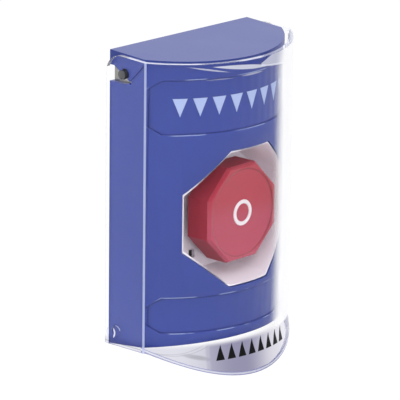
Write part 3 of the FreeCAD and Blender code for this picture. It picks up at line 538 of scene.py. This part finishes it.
def housingFinish():
    # moulded blue; at the label recesses' steps a painted shade line, with a dashed painted highlight beside it
    finish, tone, relief, rough = mouldedBase("mouldedBlue", tints["housing"], 0.34)
    x, y, z = finish.placeInMm()
    clipX, clipZ = labels["clip"]
    slant = clipX * clipZ / math.hypot(clipX, clipZ)
    front = y < -body["side"]
    dashes = finish.ramp(finish.noise(labels["dashScale"], 1.0, labels["dashFactors"]),
                         *labels["dashLevels"])
    for middle, half in zip(labels["middles"], labels["halfHeights"]):
        tall = abs(z - middle) - half
        wide = abs(x) - labels["halfWidth"]
        corner = (wide * (1 / clipX) + tall * (1 / clipZ) + 1) * slant
        outside = larger(tall, corner)
        # painted shade just inside each recess's edge, and a dashed painted highlight in the print colour just
        # outside it
        paintedShade = (outside > -labels["shadeWidth"]) * (outside < 0.0) * front
        paintedHighlight = (outside > 0.0) * (outside < labels["lightWidth"]) * front
        tone = finish.blendColours(paintedShade * labels["strength"], tone, tints["labelShade"])
        tone = finish.blendColours(paintedHighlight * dashes * labels["strength"], tone, tints["print"])
    return finish.surface(finish.node("BsdfPrincipled", {}, {
        "Base Color": tone, "Roughness": rough, "Normal": relief, "Coat Weight": 0.15,
        "Coat Roughness": 0.1}))


# Button

buttonFace = {  # in mm from the button's axis
    "thick": 1.6,  # how far back the front's finish reaches
    "ring": (3.8, 5.5),
    "dishRadius": 18.4,
    "dishDepth": 0.9,
    "lineWidth": 0.25,
    "lineShade": 0.45,
    "lineStrength": 0.5,
    "sheenSlope": 0.12,
    "sheenEdge": (7.0, -4.0),
    "sideShade": 0.3,
    "sideStrength": 0.35,
    "sideRoughness": 0.25,
    "gloss": 0.4,
}


def buttonFinish():
    # moulded red: a softly dished face and a pale ring printed on the raised mark, with a painted sheen on the
    # face's lower part, painted shade on the sides and a painted shade line along the dish's rim
    finish, tone, relief, rough = mouldedBase("redHead", tints["button"], 0.2)
    values = buttonFace
    x, y, z = finish.placeInMm()
    z = z - pushHeight
    fromAxis = finish.length(x, z)
    front = y < capLow.y + values["thick"]
    side = 1 - front
    # painted reflection: the lower part of the face lighter and pinker
    paintedSheen = finish.ramp(z + x * values["sheenSlope"], *values["sheenEdge"])
    tone = finish.blendColours(paintedSheen * front, tone, tints["buttonPaintedSheen"])
    # painted shade on the button's sides
    tone = finish.blendColours(values["sideStrength"] * side, tone,
                               shade(tints["button"], values["sideShade"]))
    ring = (fromAxis > values["ring"][0]) * (fromAxis < values["ring"][1])
    tone = finish.blendColours(ring * front, tone, tints["buttonRing"])
    # painted shade line along the dish's rim
    dishRimShade = abs(fromAxis - values["dishRadius"]) < values["lineWidth"]
    tone = finish.blendColours(dishRimShade * front * values["lineStrength"], tone,
                               shade(tints["button"], values["lineShade"]))
    inside = fromAxis < values["dishRadius"]
    bowl = fromAxis * fromAxis * (values["dishDepth"] / values["dishRadius"] ** 2) * inside
    dished = finish.node("Bump", {}, {
        "Strength": 1.0, "Distance": mm, "Height": bowl * front, "Normal": relief})
    return finish.surface(finish.node("BsdfPrincipled", {}, {
        "Base Color": tone, "Roughness": rough + values["sideRoughness"] * side, "Normal": dished,
        "Coat Weight": front * values["gloss"], "Coat Roughness": 0.05}))


# Finishes, by the slots that the part's record names

finishes = {
    "housing_blue": housingFinish(),
    "shield_clear": coverFinish(),
    "bezel_pale": plastic("paleFunnel", tints["bezel"], 0.38),
    "button_red": buttonFinish(),
    "stem_white": plastic("whiteStem", tints["stem"], 0.35),
    "operator_black": plastic("darkOperator", tints["operator"], 0.42),
    "block_green": plastic("greenBlock", tints["green"], 0.4),
    "block_red": plastic("redBlock", tints["redBlock"], 0.4),
    "gasket_rubber": plastic("rubberRing", tints["black"], 0.75, grain=2.0),
    "plate_steel": metal("zincPlate", tints["zinc"], 0.38, (1, 1, 0.08)),
    "pin_steel": metal("pinSteel", tints["darkPin"], 0.35, (0.1, 1, 1)),
    "screw_steel": metal("screwSteel", tints["zinc"], 0.3),
    "spring_steel": metal("springSteel", tints["steel"], 0.3),
    "contact_brass": metal("contactBrass", tints["brass"], 0.3, (1, 1, 0.1)),
}
# painted highlights on the rim and corners, painted shade on the foot and hinge edges
edgeFinishes = {
    "rim": paintedEdge("clearCoverRim", tints["edgeLight"], frontFades=True),
    "corner": paintedEdge("clearCoverCorner", tints["cornerLight"]),
    "foot": paintedEdge("clearCoverFoot", tints["footShade"]),
    "hinge": paintedEdge("clearCoverHingeShade", tints["hingeEdgeShade"]),
}
inkFinish = plastic("blackInk", tints["ink"], 0.5)
printFinish = plastic("paleInk", tints["print"], 0.45)

for part in frame["record"]["subparts"]:
    node = nodes[part["node"]]
    finish = finishes[part["material_slot"]]
    if not node.material_slots:
        node.data.materials.append(finish)
    for holder in node.material_slots:
        holder.link = "OBJECT"
        holder.material = finish
print("finishes:", len(finishes))


def newPiece(name, vertices, faces, finish, bodyName=None):
    mesh = bpy.data.meshes.new(name)
    mesh.from_pydata([[value * mm for value in vertex] for vertex in vertices], [], faces)
    mesh.materials.append(finish)
    piece = bpy.data.objects.new(name, mesh)
    bpy.context.scene.collection.objects.link(piece)
    if bodyName:
        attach(piece, bodyName)
    return piece


# Rounded edges on the moulded and turned pieces

edgeRounding = {  # width in mm, segments, least angle, and whether flat faces are joined first
    "housing": (0.35, 3, 32, True),
    "bezel": (0.3, 2, 24, False),  # one joined face would fold over the holes in its floor
    "button_cap": (0.55, 4, 20, True),
    "back_plate": (0.2, 2, 40, True),
    "contact_carrier": (0.3, 2, 40, True),
    "contact_block_left": (0.25, 2, 50, True),
    "contact_block_right": (0.25, 2, 50, True),
    "lock_nut": (0.3, 2, 40, True),
    "cover_screws": (0.25, 2, 50, True),
}
weldGap = 0.002 * mm


def bevelEdges(piece, name, width, segments, leastAngle):
    bevel = piece.modifiers.new(name, "BEVEL")
    bevel.width = width * mm
    bevel.segments = segments
    bevel.limit_method = "ANGLE"
    bevel.angle_limit = math.radians(leastAngle)
    return bevel


def roundEdges(piece, width, segments, leastAngle, joinFlat):
    weld = piece.modifiers.new("joinCorners", "WELD")
    weld.merge_threshold = weldGap
    if joinFlat:
        flat = piece.modifiers.new("flatFaces", "DECIMATE")
        flat.decimate_type = "DISSOLVE"
        flat.angle_limit = math.radians(1.0)
    bevel = bevelEdges(piece, "roundedEdges", width, segments, leastAngle)
    bevel.miter_outer = "MITER_ARC"
    bevel.harden_normals = True


for name, values in edgeRounding.items():
    roundEdges(nodes[name], *values)
print("edges rounded:", len(edgeRounding))

# Springs, of round wire

springs = {  # in mm
    "return_spring": {"piece": "returnCoil", "x": 0.0, "radius": 8.2, "wire": 1.2, "turns": 4},
    "contact_spring_left": {
        "piece": "contactCoilLeft", "x": -6.2, "radius": 1.9, "wire": 0.35, "turns": 3},
    "contact_spring_right": {
        "piece": "contactCoilRight", "x": 6.2, "radius": 1.9, "wire": 0.35, "turns": 3},
}


def makeSpring(node, values, turnSteps=28, wireSides=10):
    front, back = (corner.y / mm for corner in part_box(node))
    thick = values["wire"] / 2
    steps = turnSteps * values["turns"]
    vertices, faces = [], []
    for step in range(steps + 1):
        turn = math.tau * step / turnSteps
        depth = back - thick + (front - back + 2 * thick) * step / steps
        for side in range(wireSides):
            around = math.tau * side / wireSides
            reach = values["radius"] + thick * math.cos(around)
            vertices.append((values["x"] + reach * math.cos(turn), depth + thick * math.sin(around),
                             pushHeight - reach * math.sin(turn)))
    for step in range(steps):
        for side in range(wireSides):
            near, beside = step * wireSides + side, step * wireSides + (side + 1) % wireSides
            faces.append((near, near + wireSides, beside + wireSides, beside))
    faces.append(tuple(range(wireSides)))
    faces.append(tuple(range(steps * wireSides, (steps + 1) * wireSides))[::-1])
    piece = newPiece(values["piece"], vertices, faces, finishes["spring_steel"], "base")
    piece.data.polygons.foreach_set("use_smooth", [len(face) == 4 for face in faces])
    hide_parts(node)
    1 - pressTravel / (back - front)
    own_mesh(piece)


for node, values in springs.items():
    makeSpring(node, values)
print("springs made:", len(springs))

# Clear shield


def coverPlan(half, radius, edge):
    # one wall's plan from the back left corner round the front to the back right one
    start = body["centre"] - math.sqrt((radius - edge) ** 2 - (half - edge) ** 2)
    turn = math.atan2(half - edge, body["centre"] - start)
    left = []
    for step in range(cover["crestSteps"]):
        angle = math.pi / 2 * step / cover["crestSteps"]
        left.append((-half, cover["hingeY"] + cover["crest"] * math.cos(angle)))
    for step in range(cover["sideSteps"]):
        share = step / cover["sideSteps"]
        left.append((-half, cover["hingeY"] + (start - cover["hingeY"]) * share))
    for step in range(cover["edgeSteps"]):
        angle = (math.pi / 2 - turn) * step / cover["edgeSteps"]
        left.append((-(half - edge) - edge * math.cos(angle), start - edge * math.sin(angle)))
    front = []
    for step in range(cover["frontSteps"] + 1):
        angle = -turn + 2 * turn * step / cover["frontSteps"]
        front.append((radius * math.sin(angle), body["centre"] - radius * math.cos(angle)))
    return left + front + [(-x, y) for x, y in reversed(left)]


def coverFlare(height):
    below = max(0.0, cover["low"] - height)
    return cover["tongueFlare"] * below / (cover["tongueDrop"] + 1)


def coverTop(y):
    if y > cover["hingeY"]:
        reach = max(0.0, cover["crest"] ** 2 - (y - cover["hingeY"]) ** 2)
        return cover["hingeZ"] + math.sqrt(reach)
    return cover["hingeZ"] + cover["crest"] - (cover["hingeY"] - y) * cover["crestSlope"]


def coverFoot(x):
    if abs(x) >= tongueHalf:
        return cover["low"]
    return tongueCentre - math.sqrt(tongueRadius ** 2 - x ** 2)


def coverWall(half, radius, edge):
    # columns of points, each from the foot to the top
    columns = []
    for index, (x, y) in enumerate(coverPlan(half, radius, edge)):
        foot, top = coverFoot(x), coverTop(y)
        column = []
        for row in cover["rows"]:
            height = foot + row * (top - foot)
            flare = coverFlare(height)
            px, py = coverPlan(half, radius + flare, edge)[index] if flare else (x, y)
            column.append((px, py, height))
        columns.append(column)
    return columns


def wallFaces(count, rows):
    # squares of the outer wall, wall 0, and the inner one, wall 1, and the strips that join them
    def at(wall, column, row):
        return (wall * count + column) * rows + row

    faces = []
    top, last = rows - 1, count - 1
    for column in range(last):
        after = column + 1
        for row in range(top):
            faces.append((at(0, column, row), at(0, after, row), at(0, after, row + 1),
                          at(0, column, row + 1)))
            faces.append((at(1, column, row), at(1, column, row + 1), at(1, after, row + 1),
                          at(1, after, row)))
        faces.append((at(0, column, top), at(0, after, top), at(1, after, top), at(1, column, top)))
        faces.append((at(0, column, 0), at(1, column, 0), at(1, after, 0), at(0, after, 0)))
    for row in range(top):
        faces.append((at(0, 0, row), at(0, 0, row + 1), at(1, 0, row + 1), at(1, 0, row)))
        faces.append((at(0, last, row), at(1, last, row), at(1, last, row + 1),
                      at(0, last, row + 1)))
    return faces


def roundBar(name, x0, x1, y, z, radius, sides=48):
    # a closed bar along X, as a tool for cutting and joining
    x0, x1 = min(x0, x1), max(x0, x1)
    vertices = []
    for x in (x0, x1):
        for step in range(sides):
            angle = math.tau * step / sides
            vertices.append((x, y + radius * math.cos(angle), z + radius * math.sin(angle)))
    faces = [tuple(reversed(range(sides))), tuple(range(sides, 2 * sides))]
    for step in range(sides):
        following = (step + 1) % sides
        faces.append((step, following, sides + following, sides + step))
    return newPiece(name, vertices, faces, finishes["shield_clear"])


def settle(piece, sharpAngle):
    # the modifiers' result becomes the piece's own mesh, smooth but for its sharp edges
    graph = bpy.context.evaluated_depsgraph_get()
    mesh = bpy.data.meshes.new_from_object(piece.evaluated_get(graph))
    piece.modifiers.clear()
    piece.data = mesh
    for polygon in mesh.polygons:
        polygon.use_smooth = True
    mesh.set_sharp_from_angle(angle=math.radians(sharpAngle))


edgeSigns = {  # what tells the shield's rounded edges from its walls, in mm and parts of the normal
    "upwards": 0.3,
    "underneath": -0.9,
    "downwards": -0.25,
    "backwards": 0.3,
    "level": 0.25,
    "rimSlant": (0.3, 0.94),
    "footSlant": (0.3, 0.97),
    "boreReach": 3.0,
    "hingeReach": 4.0,
    "footReach": 1.0,
    "cornerReach": 1.5,
    "cornerDepths": (-24.0, -18.0),
    "cornerTurns": (30.0, 10.0),
}


def finishEdges(mesh):
    # gives each rounded edge its finish, a painted highlight on rim and corner and painted shade on foot and hinge
    # edges; the walls keep the first one
    slots = {name: index + 1 for index, name in enumerate(edgeFinishes)}
    signs = edgeSigns
    cornerLow, cornerHigh = (math.cos(math.radians(turn)) for turn in signs["cornerTurns"])
    for polygon in mesh.polygons:
        middle, normal = polygon.center / mm, polygon.normal
        side = math.copysign(1, middle.x)
        flat = middle.y > -body["side"]
        wall = Vector((side, 0, 0)) if flat else Vector((middle.x, middle.y - body["centre"], 0))
        outward = normal.dot(wall.normalized())
        fromHinge = cover["hingeY"] - middle.y
        if fromHinge < signs["boreReach"] and abs(middle.z - cover["hingeZ"]) < signs["boreReach"]:
            continue
        upperHinge = fromHinge < signs["hingeReach"] and middle.z > cover["hingeZ"]
        rimSlant = signs["rimSlant"][0] < outward < signs["rimSlant"][1]
        footSlant = signs["footSlant"][0] < abs(outward) < signs["footSlant"][1]
        low = middle.z < cover["low"] + signs["footReach"]
        atCorner = (signs["cornerDepths"][0] < middle.y < signs["cornerDepths"][1]
                    and abs(middle.x) > body["half"] + signs["cornerReach"])
        if upperHinge and normal.z > signs["upwards"]:
            polygon.material_index = slots["hinge"]
        elif low and normal.z < signs["underneath"]:
            polygon.material_index = slots["rim"]
        elif normal.z < signs["downwards"] and footSlant:
            polygon.material_index = slots["foot"]
        elif normal.z > signs["upwards"] or (rimSlant and flat and normal.y > signs["backwards"]):
            polygon.material_index = slots["rim"]
        elif atCorner and abs(normal.z) < signs["level"]:
            if cornerLow < side * normal.x < cornerHigh:
                polygon.material_index = slots["corner"]


def makeShield():
    edge = cover["innerEdge"]
    outer = coverWall(outerHalf, outerRadius, edge + cover["wall"])
    inner = coverWall(innerHalf, innerRadius, edge)
    vertices = [point for column in outer + inner for point in column]
    faces = wallFaces(len(outer), len(cover["rows"]))
    shield = newPiece("clearShield", vertices, faces, finishes["shield_clear"])
    bevelEdges(shield, "roundedRim", cover["rimRounding"], segments=4, leastAngle=50)
    tools = []
    for side in (1, -1):
        inside = side * innerHalf
        bore = roundBar("boreTool", inside - side, inside + side * cover["boreDepth"],
                        cover["hingeY"], cover["hingeZ"], cover["boreRadius"])
        stud = roundBar("studTool", inside - side * cover["studProud"], inside + side,
                        *cover["studPlace"], cover["studRadius"])
        tools += [(bore, "DIFFERENCE"), (stud, "UNION")]
    for tool, operation in tools:
        join = shield.modifiers.new(tool.name, "BOOLEAN")
        join.operation = operation
        join.object = tool
    settle(shield, sharpAngle=30)
    for tool, _ in tools:
        bpy.data.objects.remove(tool)
    for finish in edgeFinishes.values():
        shield.data.materials.append(finish)
    finishEdges(shield.data)
    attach(shield, "shield")
    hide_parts("shield")


makeShield()
print("shield made")

# Printed marks

labelMarks = {  # pale arrowheads on the upper label, pointing to the button, in mm
    "count": 9, "pitch": 8.4, "width": 6.2, "tall": 7.6, "low": 37.6, "up": False,
    "radius": body["radius"] - 0.8, "thick": 0.06,
}
tongueMarks = {  # black arrowheads on the lift tongue, pointing up, in mm
    "count": 8, "pitch": 5.4, "width": 4.0, "tall": 6.4, "low": -65.4, "up": True,
    "radius": outerRadius, "thick": 0.06,
}
markSunk = 0.02  # how far a mark's back lies in the surface
markTip = 0.02  # a tip's width, as a share of the mark's


def printOnRound(name, values, flareAt, finish, bodyName, rows=6, columns=6):
    # arrowheads as thin plates that follow the round front
    vertices, faces = [], []
    for mark in range(values["count"]):
        middle = (mark - (values["count"] - 1) / 2) * values["pitch"]
        start = len(vertices)
        for layer in (-markSunk, values["thick"]):
            for row in range(rows + 1):
                share = row / rows
                height = values["low"] + values["tall"] * (share if values["up"] else 1 - share)
                width = values["width"] * max(1 - share, markTip)
                radius = values["radius"] + flareAt(height) + layer
                for column in range(columns + 1):
                    angle = (middle + width * (column / columns - 0.5)) / values["radius"]
                    vertices.append((radius * math.sin(angle),
                                     body["centre"] - radius * math.cos(angle), height))
        across = columns + 1
        layerSize = across * (rows + 1)
        for row in range(rows):
            for column in range(columns):
                low = start + row * across + column
                square = (low, low + 1, low + across + 1, low + across)
                faces.append(square[::-1])
                faces.append(tuple(corner + layerSize for corner in square))
        rim = ([start + column for column in range(across)]
               + [start + row * across + columns for row in range(1, rows + 1)]
               + [start + rows * across + column for column in reversed(range(columns))]
               + [start + row * across for row in reversed(range(1, rows))])
        for first, second in zip(rim, rim[1:] + rim[:1]):
            faces.append((first, second, second + layerSize, first + layerSize))
    newPiece(name, vertices, faces, finish, bodyName)


printOnRound("labelMarks", labelMarks, lambda height: 0, printFinish, "base")
printOnRound("tongueMarks", tongueMarks, coverFlare, inkFinish, "shield")
print("marks made")

# Stage

photo = {  # the photograph's camera, fitted to the housing's corners
    "yaw": 47.685,
    "pitch": 15.771,
    "roll": 0.677,
    "distance": 1.48499,
    "focus": 3623.35,  # in pixels of the 400 pixel frame
    "frame": 400,
    "target": Vector((-13.862, -25.0, -1.333)) * mm,
}


def makeCamera():
    yaw, pitch, roll = (math.radians(photo[key]) for key in ("yaw", "pitch", "roll"))
    forward = Vector((math.sin(yaw) * math.cos(pitch), math.cos(yaw) * math.cos(pitch),
                      -math.sin(pitch)))
    right = Vector((math.cos(yaw), -math.sin(yaw), 0))
    up = right.cross(forward)
    right, up = (math.cos(roll) * right + math.sin(roll) * up,
                 math.cos(roll) * up - math.sin(roll) * right)
    data = bpy.data.cameras.new("camera")
    data.sensor_width = 36.0
    data.lens = photo["focus"] / photo["frame"] * data.sensor_width
    data.clip_end = 20.0
    camera = bpy.data.objects.new("camera", data)
    bpy.context.scene.collection.objects.link(camera)
    turn = Matrix((right, up, -forward)).transposed().to_4x4()
    camera.matrix_world = Matrix.Translation(photo["target"] - forward * photo["distance"]) @ turn
    bpy.context.scene.camera = camera


studio = {  # sizes in metres, powers in watts
    "floorDrop": 60 * mm,
    "floorSize": 6.0,
    "floorWhite": 1.04,
    "worldWhite": 1.0,
    "worldLevel": 0.47,
    "glowShare": 0.9,  # how much of the floor and backdrop is plain white; the rest shows shadows
    "roomFront": 0.1,
    "roomBack": 1.03,
    "roomLeft": 0.45,
    "leftEdge": (-0.35, 0.1),
    "floorBackEdge": (-0.15, -0.02),
    "worldBackEdge": (-0.05, 0.25),
    "lamps": {
        "key": {"place": (-0.8, -0.9, 1.1), "size": 0.9, "power": 5.5},
        "overhead": {"place": (0.0, 0.2, 1.5), "size": 0.9, "power": 13.0},
        "side": {"place": (-1.4, 0.2, 0.3), "size": 0.8, "power": 3.5},
        "fill": {"place": (0.9, -1.0, 0.5), "size": 1.0, "power": 2.0},
    },
}


def layered(finish, kind, plainShader, where, white, backEdge):
    # white for the camera and through glass; gloss sees a room darker in front and at the left
    camera, gloss, glass = (finish.node("LightPath", output=index) for index in (0, 3, 6))
    across, depth = finish.split(where)[:2]
    back = finish.ramp(across, *studio["leftEdge"], studio["roomLeft"], studio["roomBack"])
    room = finish.ramp(depth, *backEdge, studio["roomFront"], back)
    glow = finish.node(kind, {}, {"Color": tints["white"], "Strength": white})
    dim = finish.node(kind, {}, {"Color": tints["white"], "Strength": room})
    bounced = finish.blendShaders(gloss, plainShader, dim)
    return finish.blendShaders(studio["glowShare"] * larger(camera, glass), bounced, glow)


def makeFloor():
    low = cadBox[0].z - studio["floorDrop"]
    half = studio["floorSize"] / 2
    mesh = bpy.data.meshes.new("floor")
    mesh.from_pydata([(-half, -half, low), (half, -half, low), (half, half, low),
                      (-half, half, low)], [], [(0, 1, 2, 3)])
    floor = bpy.data.objects.new("floor", mesh)
    bpy.context.scene.collection.objects.link(floor)
    finish = Finish("paleFloor")
    matt = finish.node("BsdfDiffuse", {}, {"Color": tints["floor"]})
    mesh.materials.append(finish.surface(
        layered(finish, "Emission", matt, finish.place(), studio["floorWhite"],
                studio["floorBackEdge"])))


def makeBackdrop():
    finish = Finish("studio", world=True)
    light = finish.node("Background", {}, {
        "Color": tints["white"], "Strength": studio["worldLevel"]})
    bpy.context.scene.world = finish.surface(
        layered(finish, "Background", light, finish.node("TexCoord"), studio["worldWhite"],
                studio["worldBackEdge"]))


def makeLamps():
    for name, values in studio["lamps"].items():
        data = bpy.data.lights.new(name, "AREA")
        data.size = values["size"]
        data.energy = values["power"]
        lamp = bpy.data.objects.new(name, data)
        lamp.visible_glossy = False
        lamp.location = values["place"]
        lamp.rotation_euler = (-Vector(values["place"])).to_track_quat("-Z", "Y").to_euler()
        bpy.context.scene.collection.objects.link(lamp)


makeCamera()
makeFloor()
makeBackdrop()
makeLamps()
bpy.context.scene.view_settings.view_transform = "Standard"
print("stage ready")
